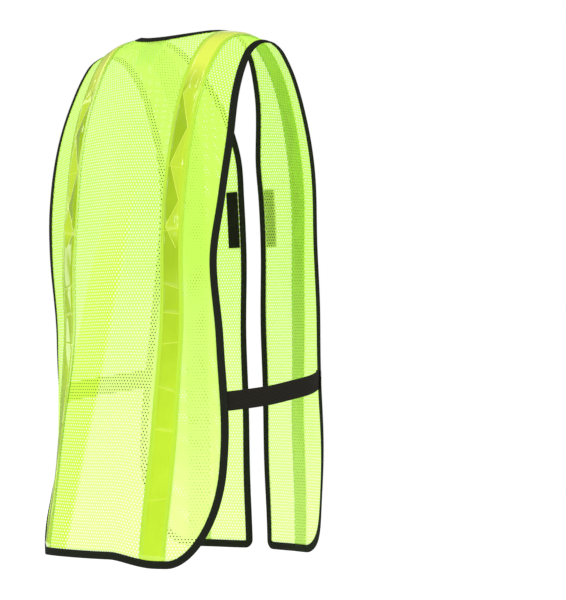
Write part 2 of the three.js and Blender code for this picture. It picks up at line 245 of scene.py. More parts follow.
# %% [markdown]
# ## Mesh helpers
# Pieces are built as grids of points. One helper turns a grid into a single sheet, one into a
# closed slab with two faces, and one sweeps a closed outline along a seam. The closed ones write a
# UV map in metres along the real cloth, so a weave keeps its true size everywhere. A sheet's UV is
# its place on a square as large as PATTERN, which holds the whole flat pattern.

# %% Meshes from grids of points
PATTERN = (0.4, 0.8)


def make_object(name, points, faces, uvs=None, material=None):
    """uvs holds one (u, v) for each corner of each face, in order."""
    mesh = bpy.data.meshes.new(name)
    mesh.from_pydata(np.asarray(points).reshape(-1, 3).tolist(), [], faces)
    if uvs is not None:
        layer = mesh.uv_layers.new(name="flat")
        layer.data.foreach_set("uv", np.asarray(uvs, np.float32).ravel())
    mesh.polygons.foreach_set("use_smooth", [True] * len(mesh.polygons))
    if material:
        mesh.materials.append(material)
    return new_object(name, mesh)


def face_out(obj):
    """Turns a closed piece's faces outwards."""
    bm = bmesh.new()
    bm.from_mesh(obj.data)
    bmesh.ops.remove_doubles(bm, verts=bm.verts, dist=1e-6)
    bmesh.ops.recalc_face_normals(bm, faces=bm.faces)
    bm.to_mesh(obj.data)
    bm.free()
    return obj


def grid_faces(rows, cols, offset=0, wrap=False):
    """Quads of a rows x cols grid; wrap joins the last column to the first."""
    spans = cols if wrap else cols - 1
    r, c = np.meshgrid(np.arange(rows - 1), np.arange(spans), indexing="ij")
    d = (c + 1) % cols
    quads = np.stack([r * cols + c, (r + 1) * cols + c, (r + 1) * cols + d, r * cols + d], -1)
    return (quads.reshape(-1, 4) + offset).tolist()


def corner_uvs(faces, u, v):
    u, v = np.ravel(u), np.ravel(v)
    return [(u[i], v[i]) for face in faces for i in face]


def sheet_piece(name, s, t):
    """One layer of cloth, with its place on the flat pattern as UV."""
    faces = grid_faces(*s.shape)
    u, v = s * MM / PATTERN[0] + 0.5, np.abs(t) * MM / PATTERN[1]
    return make_object(name, draped(s, t), faces, corner_uvs(faces, u, v))


print("pattern square", PATTERN, "m")


# %% Closed pieces
def slab_piece(name, low, high, u, v, material):
    """A closed slab between two grids of points."""
    rows, cols = u.shape
    points = np.concatenate([low.reshape(-1, 3), high.reshape(-1, 3)])
    size = rows * cols
    faces = grid_faces(rows, cols) + grid_faces(rows, cols, size)
    rim = [r * cols for r in range(rows)] + [size - cols + c for c in range(1, cols)]
    rim += [r * cols + cols - 1 for r in range(rows - 2, -1, -1)] + list(range(cols - 2, 0, -1))
    for a, b in zip(rim, rim[1:] + rim[:1]):
        faces.append([a, b, b + size, a + size])
    uvs = corner_uvs(faces, np.tile(u.ravel(), 2), np.tile(v.ravel(), 2))
    return face_out(make_object(name, points, faces, uvs, material))


def beside(path, inward):
    """Unit steps from a path of (s, t) into the cloth. inward is +1 where the cloth lies to the
    left of the path's direction, and -1 to the right."""
    tangent = np.gradient(path, axis=0)
    tangent /= np.linalg.norm(tangent, axis=1, keepdims=True)
    return np.stack([-tangent[:, 1], tangent[:, 0]], 1) * inward


def swept_piece(name, path, outline, material, inward):
    """Sweeps a closed outline of (across, height) in mm along a path of (s, t)."""
    outline = np.array(outline, float)
    flat = path[:, None, :] + beside(path, inward)[:, None, :] * outline[None, :, :1]
    points = draped(flat[..., 0], flat[..., 1], outline[None, :, 1])
    rows, cols = len(path), len(outline)
    faces = grid_faces(rows, cols, wrap=True)
    faces += [list(range(cols)), list(range((rows - 1) * cols, rows * cols))]
    u, v = np.meshgrid(outline[:, 0] * MM, walked(path) * MM)
    return face_out(make_object(name, points, faces, corner_uvs(faces, u, v), material))


# %% [markdown]
# ## Material helpers
# Colours are written as sRGB hex and turned to linear once. A single function adds a node with its
# settings and links. Where it is given a node instead of a socket, it takes that node's first
# output in use, which keeps a long chain of nodes short to write.

# %% Colour and nodes
def colour(code):
    parts = [int(code[i:i + 2], 16) / 255 for i in (1, 3, 5)]
    linear = [c / 12.92 if c <= 0.04045 else ((c + 0.055) / 1.055) ** 2.4 for c in parts]
    return (*linear, 1)


def add(tree, kind, inputs=None, **settings):
    """Adds a node, sets its properties, and fills its inputs with values, sockets or nodes."""
    made = tree.nodes.new(kind)
    for name, value in settings.items():
        setattr(made, name, value)
    for name, value in (inputs or {}).items():
        if isinstance(value, bpy.types.Node):
            value = next(socket for socket in value.outputs if socket.enabled)
        if isinstance(value, bpy.types.NodeSocket):
            tree.links.new(value, made.inputs[name])
        else:
            made.inputs[name].default_value = value
    return made


def blank_material(name):
    material = bpy.data.materials.new(name)
    material.use_nodes = True
    material.node_tree.nodes.clear()
    return material, material.node_tree


# %% [markdown]
# ## Fluorescent polyester net
# Knitted polyester dyed with a fluorescent lime dye. It is matt, lets light through, and sends back
# a little more light than it gets, which is why it looks brighter than white paper beside it. A
# translucent share and a faint glow of the same lime give that. Towards the hem, and most of all in
# the middle, it is painted paler: painted light, as if a white body behind shone through the net.
# Knitting leaves fine loops, drawn as a bump of about a millimetre.

# %% Net material
NET_DEEP, NET_PALE, NET_DOUBLE = "#C8F360", "#E0F994", "#C6F244"
NET_GLOW = 0.05
NET_CLEAR, DOUBLE_CLEAR = 0.45, 0.2
LOOP = (0.55 * MM, 1.1 * MM)


def fold_mask(tree, s, t):
    """How far a point of the flat pattern lies inside the slanting fold, from 0 to 1."""
    centre, wide = [
        add(tree, "ShaderNodeMath", {0: t, 1: run, 2: (first - run * FOLD_TOP[1]) * MM},
            operation="MULTIPLY_ADD")
        for run, first in ((FOLD_LEAN, FOLD_TOP[0]), (FOLD_WIDENING, FOLD_HALF_WIDTH[0]))]
    gap = add(tree, "ShaderNodeMath", {0: s, 1: centre}, operation="SUBTRACT")
    off = add(tree, "ShaderNodeMath", {0: gap}, operation="ABSOLUTE")
    past = add(tree, "ShaderNodeMath", {0: off, 1: wide}, operation="SUBTRACT")
    inside = add(tree, "ShaderNodeMapRange", {
        "Value": past, "From Min": -5 * MM, "From Max": 3 * MM, "To Min": 1.0, "To Max": 0.0},
        interpolation_type="SMOOTHSTEP")
    grown = add(tree, "ShaderNodeMapRange", {
        "Value": t, "From Min": (FOLD_TOP[1] - 50) * MM, "From Max": 0.40},
        interpolation_type="SMOOTHSTEP")
    return add(tree, "ShaderNodeMath", {0: inside, 1: grown}, operation="MULTIPLY")


def net_material(name, folded):
    """The back is folded over along the slanting fold, so it is deeper and less clear there."""
    material, tree = blank_material(name)
    flat = add(tree, "ShaderNodeAttribute", attribute_name="pattern").outputs["Vector"]
    s, t, _ = add(tree, "ShaderNodeSeparateXYZ", {"Vector": flat}).outputs
    cloudy = add(tree, "ShaderNodeTexNoise", {"Vector": flat, "Scale": 6.0, "Detail": 2.0})
    stretch = add(tree, "ShaderNodeVectorMath", {0: flat, 1: (1 / LOOP[0], 1 / LOOP[1], 0)},
                  operation="MULTIPLY")
    loops = add(tree, "ShaderNodeTexVoronoi", {"Vector": stretch, "Scale": 1.0})
    bump = add(tree, "ShaderNodeBump", {
        "Height": loops.outputs["Distance"], "Strength": 0.3, "Distance": 0.0002})
    # Painted light: paler towards the hem and in the middle, as if a white body behind shone
    # through.
    painted_backlight_to_hem = add(tree, "ShaderNodeMapRange", {
        "Value": t, "From Min": 0.3, "From Max": 0.72, "To Min": -0.3, "To Max": 0.9})
    outer = add(tree, "ShaderNodeMath", {0: s}, operation="ABSOLUTE")
    painted_backlight_middle = add(tree, "ShaderNodeMapRange", {
        "Value": outer, "From Min": 0.08, "From Max": 0.14, "To Max": -0.35},
        interpolation_type="SMOOTHSTEP")
    painted_backlight = add(tree, "ShaderNodeMath", {0: painted_backlight_to_hem, 1: painted_backlight_middle}, operation="ADD")
    tone_and_painted_backlight = add(tree, "ShaderNodeMath", {0: cloudy.outputs["Fac"], 1: painted_backlight},
                operation="ADD", use_clamp=True)
    tint = add(tree, "ShaderNodeMix", {0: tone_and_painted_backlight, 6: colour(NET_DEEP), 7: colour(NET_PALE)},
               data_type="RGBA")
    clear = NET_CLEAR
    if folded:
        pleat = fold_mask(tree, s, t)
        tint = add(tree, "ShaderNodeMix", {0: pleat, 6: tint, 7: colour(NET_DOUBLE)},
                   data_type="RGBA")
        clear = add(tree, "ShaderNodeMapRange", {
            "Value": pleat, "To Min": NET_CLEAR, "To Max": DOUBLE_CLEAR})
    cloth = add(tree, "ShaderNodeBsdfPrincipled", {
        "Base Color": tint, "Roughness": 0.8, "IOR": 1.45, "Specular IOR Level": 0.25,
        "Normal": bump, "Emission Color": colour("#C8FF3C"), "Emission Strength": NET_GLOW})
    through = add(tree, "ShaderNodeBsdfTranslucent", {"Color": tint})
    both = add(tree, "ShaderNodeMixShader", {0: clear, 1: cloth, 2: through})
    add(tree, "ShaderNodeOutputMaterial", {"Surface": both})
    return material


BACK_NET = net_material("fluorescent_polyester_net", True)
FRONT_NET = net_material("fluorescent_polyester_front_net", False)

# %% [markdown]
# ## Glossy lime vinyl
# The strips are calendered PVC film, welded along both edges. The film is smooth and shines like
# wet paint, so a clear coat sits over a lime that is deeper than the net. It is paler where it is
# welded. Over the shoulders it is painted paler, a painted highlight where it faces up to the
# light, and one side of the zigzag is painted lighter as a painted highlight. Along its creases it
# is painted pale, partly the whitening of creased vinyl and partly a painted glint. Scuffs make the
# gloss a little uneven.

# %% Creases of the vinyl, in mm
CORE = 11.8  # half the width between the welds
# The zigzag's corners as (t, across), and the short creases as (t, lean).
ZIGZAG = [(122, -2), (138, -9.5), (184, 9), (235, -9.5), (284, 9), (318, -9.5), (346, 8)]
CREASES = [(239, 0.12), (322, -0.15), (395, 0.3), (430, 0.1), (469, -0.1), (527, 0.3), (577, 0.1),
           (661, -0.2)]


def line_mask(tree, distance, width):
    """1 on a line and 0 beside it, from a signed distance in metres."""
    off = add(tree, "ShaderNodeMath", {0: distance}, operation="ABSOLUTE")
    return add(tree, "ShaderNodeMapRange", {
        "Value": off, "From Min": 0.3 * width * MM, "From Max": width * MM,
        "To Min": 1.0, "To Max": 0.0}, interpolation_type="SMOOTHSTEP")


def pale_creases_and_painted_glints(tree, across, along):
    """The film is painted pale along its creases, partly the whitening of creased vinyl and partly
    a
    painted glint: one zigzag, and short lines across.
    """
    total = 0.0
    for (t0, a0), (t1, a1) in zip(ZIGZAG, ZIGZAG[1:]):
        run = (a1 - a0) / (t1 - t0)
        line = add(tree, "ShaderNodeMath", {0: along, 1: run, 2: (a0 - run * t0) * MM},
                   operation="MULTIPLY_ADD")
        gap = add(tree, "ShaderNodeMath", {0: across, 1: line}, operation="SUBTRACT")
        span = add(tree, "ShaderNodeMath", {
            0: along, 1: (t0 + t1) / 2 * MM, 2: (t1 - t0) / 2 * MM}, operation="COMPARE")
        mask = add(tree, "ShaderNodeMath", {0: line_mask(tree, gap, 0.75), 1: span},
                   operation="MULTIPLY")
        total = add(tree, "ShaderNodeMath", {0: total, 1: mask}, operation="MAXIMUM")
    for t0, lean in CREASES:
        line = add(tree, "ShaderNodeMath", {0: across, 1: lean, 2: t0 * MM},
                   operation="MULTIPLY_ADD")
        gap = add(tree, "ShaderNodeMath", {0: along, 1: line}, operation="SUBTRACT")
        faint = add(tree, "ShaderNodeMath", {0: line_mask(tree, gap, 1.0), 1: 0.55},
                    operation="MULTIPLY")
        total = add(tree, "ShaderNodeMath", {0: total, 1: faint}, operation="MAXIMUM")
    return total


# %% Vinyl material
def vinyl_material():
    material, tree = blank_material("calendered_lime_pvc")
    place = add(tree, "ShaderNodeTexCoord").outputs
    across, down, _ = add(tree, "ShaderNodeSeparateXYZ", {"Vector": place["UV"]}).outputs
    along = add(tree, "ShaderNodeMath", {0: down}, operation="ABSOLUTE")
    off = add(tree, "ShaderNodeMath", {0: across}, operation="ABSOLUTE")
    weld = add(tree, "ShaderNodeMapRange", {
        "Value": off, "From Min": (CORE - 0.3) * MM, "From Max": (CORE + 0.4) * MM})
    inside = add(tree, "ShaderNodeMath", {0: 1.0, 1: weld}, operation="SUBTRACT")
    cloudy = add(tree, "ShaderNodeTexNoise", {
        "Vector": place["Object"], "Scale": 24.0, "Detail": 4.0}).outputs["Fac"]
    # The creases are painted pale: partly the whitening of creased vinyl, partly a painted glint.
    lines = add(tree, "ShaderNodeMath", {0: pale_creases_and_painted_glints(tree, across, along), 1: inside},
                operation="MULTIPLY")
    # Painted highlight: the side of the zigzag that faces the light is painted lighter.
    facet = add(tree, "ShaderNodeAttribute", attribute_name="facet").outputs["Fac"]
    # Painted highlight: the film is painted paler near the shoulder ridge, where it faces up to the
    # light.
    shoulder = add(tree, "ShaderNodeMapRange", {
        "Value": along, "From Min": 0.09, "From Max": 0.14, "To Min": 1.0, "To Max": 0.0})
    lower = add(tree, "ShaderNodeMapRange", {"Value": along, "From Min": 0.30, "From Max": 0.58})
    deep, lively = [add(tree, "ShaderNodeMix", {0: cloudy, 6: colour(low), 7: colour(high)},
                        data_type="RGBA")
                    for low, high in (("#90B40C", "#A8CA18"), ("#B4DA20", "#C9EC32"))]
    tint = deep
    for share, other in ((facet, colour("#BEDD30")), (shoulder, colour("#DCEC52")),
                         (lower, lively), (lines, colour("#DDF052")), (weld, colour("#BCE43A"))):
        tint = add(tree, "ShaderNodeMix", {0: share, 6: tint, 7: other}, data_type="RGBA")
    scuff = add(tree, "ShaderNodeMapRange", {"Value": cloudy, "To Min": 0.05, "To Max": 0.17})
    bump = add(tree, "ShaderNodeBump", {"Height": lines, "Strength": 0.5, "Distance": 0.0004})
    vinyl = add(tree, "ShaderNodeBsdfPrincipled", {
        "Base Color": tint, "Roughness": scuff, "IOR": 1.5, "Coat Weight": 0.6,
        "Coat Roughness": 0.04, "Normal": bump})
    through = add(tree, "ShaderNodeBsdfTranslucent", {"Color": tint})
    both = add(tree, "ShaderNodeMixShader", {0: 0.12, 1: vinyl, 2: through})
    add(tree, "ShaderNodeOutputMaterial", {"Surface": both})
    return material


VINYL = vinyl_material()


# %% [markdown]
# ## Woven tapes
# The binding, the elastic and the seam tape are all narrow woven goods: threads cross at right
# angles, and the surface is dull with a fine grain. One function makes each with its own colours
# and thread spacing. The threads are drawn a little coarser than life so that they show.

# %% Woven material
def woven_material(name, dark, light, thread, ribs=0.0, roughness=0.85):
    """thread is the spacing along the tape, and ribs the spacing across it, in mm."""
    material, tree = blank_material(name)
    uv = add(tree, "ShaderNodeTexCoord").outputs["UV"]
    across, along, _ = add(tree, "ShaderNodeSeparateXYZ", {"Vector": uv}).outputs
    waves = []
    for place, spacing in ((across, ribs or thread), (along, thread)):
        angle = add(tree, "ShaderNodeMath", {0: place, 1: 2 * math.pi / MM / spacing},
                    operation="MULTIPLY")
        waves.append(add(tree, "ShaderNodeMath", {0: angle}, operation="SINE"))
    if ribs:
        weave = add(tree, "ShaderNodeMath", {0: waves[1], 1: 0.35, 2: waves[0]},
                    operation="MULTIPLY_ADD")
    else:
        weave = add(tree, "ShaderNodeMath", {0: waves[0], 1: waves[1]}, operation="MULTIPLY")
    share = add(tree, "ShaderNodeMapRange", {"Value": weave, "From Min": -1.0})
    tint = add(tree, "ShaderNodeMix", {0: share, 6: colour(dark), 7: colour(light)},
               data_type="RGBA")
    bump = add(tree, "ShaderNodeBump", {"Height": share, "Strength": 0.6, "Distance": 0.0002})
    cloth = add(tree, "ShaderNodeBsdfPrincipled", {
        "Base Color": tint, "Roughness": roughness, "IOR": 1.45, "Specular IOR Level": 0.12,
        "Normal": bump})
    add(tree, "ShaderNodeOutputMaterial", {"Surface": cloth})
    return material


BLACK_TAPE = woven_material("woven_black_polyester_tape", "#0F120B", "#22271C", 0.9)
ELASTIC = woven_material("knitted_black_elastic", "#12110C", "#26241E", 1.3, ribs=1.7)
LIME_TWILL = woven_material("lime_twill_tape", "#C4EA48", "#D8F86C", 1.0)
LABEL_SATIN = woven_material("white_satin_ribbon", "#E9ECE2", "#F6F8F2", 0.7, roughness=0.5)
HOOK_TAPE = woven_material("black_nylon_closure_tape", "#101109", "#26281F", 1.5)
LIME_THREAD = woven_material("lime_polyester_thread", "#9CC02A", "#BEE048", 0.8, roughness=0.6)
BLACK_THREAD = woven_material("black_polyester_thread", "#1A1C15", "#3A3D33", 0.8, roughness=0.6)

# %% [markdown]
# ## Geometry Nodes for the holes
# The net has a hole every four and a half millimetres, tens of thousands in all. The tree starts
# from a grid as large as the pattern, leans it over so that its points stand in a staggered
# lattice, and takes the dual mesh, which gives one hexagon round each point. Each hexagon is inset
# and its middle deleted, which leaves a hole. Last, every point is looked up on the draped sheet
# by its place on the flat pattern, so the holes bend with the cloth and keep their size.

# %% Making and running a tree
HOLE_PITCH = 4.5
HOLE_SHARE = 0.38
ROW_SHARE = math.sqrt(3) / 2  # from one row of a staggered lattice to the next, in pitches


def node_group(name, *sizes):
    """A tree that takes a mesh, some sizes and a material, and the sockets that give them."""
    tree = bpy.data.node_groups.new(name, "GeometryNodeTree")
    sockets = [("Geometry", "Geometry"), *((size, "Float") for size in sizes),
               ("Material", "Material")]
    for label, kind in sockets:
        tree.interface.new_socket(label, in_out="INPUT", socket_type="NodeSocket" + kind)
    tree.interface.new_socket("Geometry", in_out="OUTPUT", socket_type="NodeSocketGeometry")
    return tree, add(tree, "NodeGroupInput").outputs


def finish_tree(tree, given, shape):
    """Makes a tree's copies real and gives them the material."""
    real = add(tree, "GeometryNodeRealizeInstances", {"Geometry": shape})
    painted = add(tree, "GeometryNodeSetMaterial", {
        "Geometry": real, "Material": given["Material"]})
    add(tree, "NodeGroupOutput", {"Geometry": painted})
    return tree


def apply_tree(obj, tree, values, name):
    """Runs a tree on an object and leaves the result as a plain mesh object in its place."""
    modifier = obj.modifiers.new(tree.name, "NODES")
    modifier.node_group = tree
    for item in tree.interface.items_tree:
        if item.in_out == "INPUT" and item.name in values:
            modifier[item.identifier] = values[item.name]
    bpy.context.view_layer.update()
    graph = bpy.context.evaluated_depsgraph_get()
    mesh = bpy.data.meshes.new_from_object(obj.evaluated_get(graph), depsgraph=graph)
    mesh.name = name
    made = new_object(name, mesh)
    obj.modifiers.remove(modifier)
    bpy.data.objects.remove(obj)
    return made


# %% Perforation tree
def perforation_tree():
    tree, given = node_group("perforated_net", "Pitch", "Hole Share")
    width, length = PATTERN
    lean = length * 0.5 / ROW_SHARE
    across = add(tree, "ShaderNodeMath", {0: width + lean, 1: given["Pitch"]},
                 operation="DIVIDE")
    row = add(tree, "ShaderNodeMath", {0: given["Pitch"], 1: ROW_SHARE}, operation="MULTIPLY")
    along = add(tree, "ShaderNodeMath", {0: length, 1: row}, operation="DIVIDE")
    grid = add(tree, "GeometryNodeMeshGrid", {
        "Size X": width + lean, "Size Y": length, "Vertices X": across, "Vertices Y": along})
    here = add(tree, "GeometryNodeInputPosition")
    _, y, _ = add(tree, "ShaderNodeSeparateXYZ", {"Vector": here}).outputs
    slide = add(tree, "ShaderNodeMath", {0: y, 1: 0.5 / ROW_SHARE}, operation="MULTIPLY")
    shift = add(tree, "ShaderNodeCombineXYZ", {"X": slide})
    leaning = add(tree, "GeometryNodeSetPosition", {"Geometry": grid, "Offset": shift})
    triangles = add(tree, "GeometryNodeTriangulate", {"Mesh": leaning},
                    quad_method="SHORTEST_DIAGONAL")
    cells = add(tree, "GeometryNodeDualMesh", {"Mesh": triangles})
    place = add(tree, "ShaderNodeVectorMath", {
        0: here, 1: (1 / width, 1 / length, 0), 2: (0.5, 0.5, 0)}, operation="MULTIPLY_ADD")
    flat = add(tree, "GeometryNodeInputNamedAttribute", {"Name": "flat"},
               data_type="FLOAT_VECTOR")
    look = add(tree, "GeometryNodeSampleUVSurface", {
        "Mesh": given["Geometry"], "Value": here, "Source UV Map": flat, "Sample UV": place},
        data_type="FLOAT_VECTOR")
    off = add(tree, "FunctionNodeBooleanMath", {0: look.outputs["Is Valid"]}, operation="NOT")
    kept = add(tree, "GeometryNodeDeleteGeometry", {"Geometry": cells, "Selection": off},
               domain="FACE")
    raised = add(tree, "GeometryNodeExtrudeMesh", {
        "Mesh": kept, "Offset Scale": 0.0, "Individual": True}, mode="FACES").outputs
    inset = add(tree, "GeometryNodeScaleElements", {
        "Geometry": raised["Mesh"], "Selection": raised["Top"], "Scale": given["Hole Share"]})
    holes = add(tree, "GeometryNodeDeleteGeometry", {
        "Geometry": inset, "Selection": raised["Top"]}, domain="FACE")
    trimmed = add(tree, "GeometryNodeDeleteGeometry", {"Geometry": holes, "Selection": off},
                  domain="POINT")
    pattern = add(tree, "ShaderNodeVectorMath", {0: here, 1: (0.0, length / 2, 0.0)},
                  operation="ADD")
    marked = add(tree, "GeometryNodeStoreNamedAttribute", {
        "Geometry": trimmed, "Name": "pattern", "Value": pattern},
        data_type="FLOAT_VECTOR", domain="POINT")
    bent = add(tree, "GeometryNodeSetPosition", {
        "Geometry": marked, "Position": look.outputs["Value"]})
    soft = add(tree, "GeometryNodeSetShadeSmooth", {"Geometry": bent})
    return finish_tree(tree, given, soft)


PERFORATION = perforation_tree()

# %% [markdown]
# ## The mesh panels
# Each panel is first a plain draped sheet whose UV is its flat pattern. The sheet runs under the
# binding, which hides the ragged row of cut holes as it does on the real vest.

# %% Panels
UNDER_BINDING = 1.2
FOOT_RADIUS = 12
REACH = 0.5 * math.pi


def each_hand(make):
    """Makes a left piece and a right one, from the hand's name and its sign in s."""
    return {hand: make(hand, side) for hand, side in HANDS}


def rounded_rows(hem, way, inset, spacing=6.0, corner_steps=22):
    """Rows of t and the half width there, with the hem's rounded corners."""
    straight = np.arange(0, hem - CORNER_LENGTH, spacing)
    half = half_width_at(way * straight)[:, 0] - inset
    angle = np.linspace(0, REACH, corner_steps)
    full = half_width_at(way * np.array([hem - CORNER_LENGTH]))[0, 0]
    corner = hem - CORNER_LENGTH + (CORNER_LENGTH - inset) * np.sin(angle)
    narrow = full - CORNER_WIDTH + (CORNER_WIDTH - inset) * np.cos(angle)
    return np.concatenate([straight, corner]), np.concatenate([half, narrow])


def net_piece(name, s, t, material):
    source = sheet_piece(name + "_cut", s, t)
    values = {"Pitch": HOLE_PITCH * MM, "Hole Share": HOLE_SHARE, "Material": material}
    made = apply_tree(source, PERFORATION, values, name)
    middle = s.shape[0] // 2, s.shape[1] // 2
    facing = made.data.polygons[len(made.data.polygons) // 2].normal
    if facing.dot(Vector(outward(s[middle], t[middle]))) < 0:
        made.data.flip_normals()
    print(name, "faces", len(made.data.polygons))
    return made


def back_net():
    rows, half = rounded_rows(BACK_HEM, 1, UNDER_BINDING)
    s = half[:, None] * np.linspace(-1, 1, 91)[None, :]
    a, b = NECK_HALF_WIDTH + UNDER_BINDING, BACK_NECK_DEPTH + UNDER_BINDING
    neck = b * np.sqrt(np.clip(1 - (s / a) ** 2, 0, 1))
    end = rows[-1]
    return net_piece("back_mesh", s, neck + rows[:, None] / end * (end - neck), BACK_NET)


def front_net(hand, side):
    rows, half = rounded_rows(FRONT_HEM, -1, UNDER_BINDING)
    turn = np.clip(rows - (FRONT_HEM - FOOT_RADIUS), 0, FOOT_RADIUS - UNDER_BINDING)
    foot = FOOT_RADIUS - np.sqrt(FOOT_RADIUS**2 - turn**2)
    inner = v_edge_at(-rows)[:, 0] + UNDER_BINDING + foot
    share = np.linspace(0, 1, 45)[None, :]
    s = inner[:, None] + (half - inner)[:, None] * share
    t = np.broadcast_to(-rows[:, None], s.shape)
    return net_piece(f"{hand}_front_mesh", side * s, t, FRONT_NET)


back_mesh = back_net()
front_mesh = each_hand(front_net)

# %% [markdown]
# ## The binding
# A black tape, folded in half along its length over the raw edge and sewn through. Swept as a
# U-shaped outline along the edge of the flat pattern, it keeps its width round the corners. The
# tape puffs slightly between its fold and its stitches.

# %% Binding outlines and paths
BINDING_OUTLINE = [
    (10.0, 0.95), (8.0, 0.78), (6.0, 1.02), (3.5, 1.22), (1.4, 1.12), (0.4, 0.7), (0, 0),
    (0.4, -0.7), (1.4, -1.12), (3.5, -1.22), (6.0, -1.02), (8.0, -0.78), (10.0, -0.95),
    (10.0, -0.35), (6.0, -0.3), (2.0, -0.25), (1.6, 0), (2.0, 0.25), (6.0, 0.3), (10.0, 0.35),
]


def corner_path(hem, way, side):
    """Round one hem corner, from the open side towards the centre."""
    angle = np.linspace(0, REACH, 26)
    full = half_width_at(way * np.array([hem - CORNER_LENGTH]))[0, 0]
    s = side * (full - CORNER_WIDTH + CORNER_WIDTH * np.cos(angle))
    t = way * (hem - CORNER_LENGTH + CORNER_LENGTH * np.sin(angle))
    return np.stack([s, t], 1)


def side_path(hem, way, side):
    """Down one open side, from the shoulder tip to the hem corner."""
    t = way * np.arange(0, hem - CORNER_LENGTH - 2, 4.0)
    return np.stack([side * half_width_at(t)[:, 0], t], 1)


def back_edge_path():
    down = np.concatenate([side_path(BACK_HEM, 1, 1), corner_path(BACK_HEM, 1, 1)])
    hem = np.arange(down[-1, 0] - 5, -down[-1, 0] + 2, -5.0)
    up = down[::-1] * [-1, 1]
    return np.concatenate([down, np.stack([hem, np.full(len(hem), BACK_HEM)], 1), up])


def front_edge_path(side):
    t = -np.arange(0, FRONT_HEM - FOOT_RADIUS - 2, 4.0)
    inner = np.stack([v_edge_at(t)[:, 0], t], 1)
    angle = np.linspace(0, REACH, 9)
    foot = np.stack([FRONT_EDGE + FOOT_RADIUS * (1 - np.cos(angle)),
                     -FRONT_HEM + FOOT_RADIUS * (1 - np.sin(angle))], 1)
    outer = np.concatenate([side_path(FRONT_HEM, -1, 1), corner_path(FRONT_HEM, -1, 1)])[::-1]
    hem = np.arange(FRONT_EDGE + FOOT_RADIUS + 5, outer[0, 0] - 2, 5.0)
    hem = np.stack([hem, np.full(len(hem), -FRONT_HEM)], 1)
    return np.concatenate([inner, foot, hem, outer]) * [side, 1]


def neck_path():
    angle = np.linspace(math.pi, 0, 61)
    return np.stack([NECK_HALF_WIDTH * np.cos(angle), BACK_NECK_DEPTH * np.sin(angle)], 1)


# %% Bindings
back_binding = swept_piece("back_binding", back_edge_path(), BINDING_OUTLINE, BLACK_TAPE, 1)
neck_binding = swept_piece("neck_binding_back", neck_path(), BINDING_OUTLINE, BLACK_TAPE, 1)
front_binding = each_hand(lambda hand, side: swept_piece(
    f"{hand}_front_binding", front_edge_path(side), BINDING_OUTLINE, BLACK_TAPE, side))
print("binding on the back, m", round(walked(back_edge_path())[-1] * MM, 2))

# %% [markdown]
# ## The glossy strips
# Flat vinyl film can't stretch over a curved back, so it buckles. The folds are straight-edged,
# like creased paper, which is what makes the strip glitter. Here one zigzag crease parts the film
# into long facets over the shoulder blade, with a few short creases across it lower down, a pinch,
# and an oval blister near the shoulder. A flat flange with a welded bead runs along each edge.
# Under the hem's binding the strip thins out flat.

# %% Strips
STRIP_HEIGHT, END_HEIGHT = 0.75, 0.25
FILM, END_FILM = 0.45, 0.2
STRIP_ROW = 1.25
STRIP_END = BINDING - 2.5
PINCH = (309, 9)  # t and across
BLISTER = (116, 2.5, 17, 7.0)  # t, across, and half its length and width


def buckled(t):
    """How strongly the film is buckled at t, from 0 to 1."""
    return fade(t, 112, 138) * (1 - fade(t, 318, 350))


def zigzag_at(t):
    return np.interp(t, *np.array(ZIGZAG).T)


def film_relief(across, t):
    """Height of the film's buckles over the cloth, in mm, with the welded edges flat."""
    off = np.abs(across)
    facet = 0.2 * np.abs(across - zigzag_at(t))
    upper = buckled(t)
    puff = 1.0 + 0.3 * np.sin(t / 19 + across / 6)
    hard = sum(np.exp(-(((t - place - lean * across) / 2.2) ** 2)) for place, lean in CREASES)
    pinch = np.exp(-(((t - PINCH[0]) / 7) ** 2)) * np.exp(-(((off - PINCH[1]) / 3.0) ** 2))
    where, shift, long, wide = BLISTER
    blister = np.sqrt(((t - where) / long) ** 2 + ((across - shift) / wide) ** 2)
    middle = 1 - fade(off, CORE - 3.5, CORE)
    bead = 0.35 * np.exp(-(((off - CORE - 0.6) / 0.9) ** 2))
    lift = upper * facet + (1 - upper) * puff - 0.45 * hard + 1.6 * pinch
    lift = lift + 0.9 * (1 - fade(blister, 0.82, 1.05))
    return middle * lift + bead


def strip_piece(name, side, stop):
    """One strip from the shoulder ridge to stop. The attribute facet marks one side of the zigzag,
    which faces the light more; the vinyl paints that side lighter as a painted highlight."""
    rows = np.append(np.arange(0, stop, math.copysign(STRIP_ROW, stop)), stop)
    across, t = np.meshgrid(np.linspace(-STRIP_WIDTH / 2, STRIP_WIDTH / 2, 37), rows)
    s = side * (STRIP_CENTRE + across)
    drop = np.abs(t)
    free = fade(np.abs(stop - t), 2.5, 9)
    base = END_HEIGHT + (STRIP_HEIGHT - END_HEIGHT) * free
    top = base + END_FILM + (FILM - END_FILM + film_relief(across, drop)) * free
    strip = slab_piece(name, draped(s, t, base), draped(s, t, top), across * MM, t * MM, VINYL)
    facet = fade(across - zigzag_at(drop), -1.2, 1.2) * buckled(drop)
    mark = strip.data.attributes.new("facet", "FLOAT", "POINT")
    mark.data.foreach_set("value", np.tile(facet.ravel(), 2).astype(np.float32))
    return strip


back_strip, front_strip = [
    each_hand(lambda hand, side: strip_piece(f"{hand}_{part}_vinyl", side, stop))
    for part, stop in (("back", BACK_HEM - STRIP_END), ("front", STRIP_END - FRONT_HEM))]
print("strips", STRIP_WIDTH, "mm wide; the back ones are", round(BACK_HEM - STRIP_END), "mm long")

# %% [markdown]
# ## The elastic side straps
# Knitted elastic has raised ribs along its length over rubber threads. The strap is sewn under the
# binding at both ends and bows out round the waist between them. Its cross-section carries the
# ribs as real geometry, because they catch the light along the edge of the strap.

# %% Side straps
STRAP_SEWN = 9
STRAP_THICK = 1.4
STRAP_GAP = 1.0
STRAP_POINTS = 90
RIB_HEIGHT = 0.16
RIBS = 14


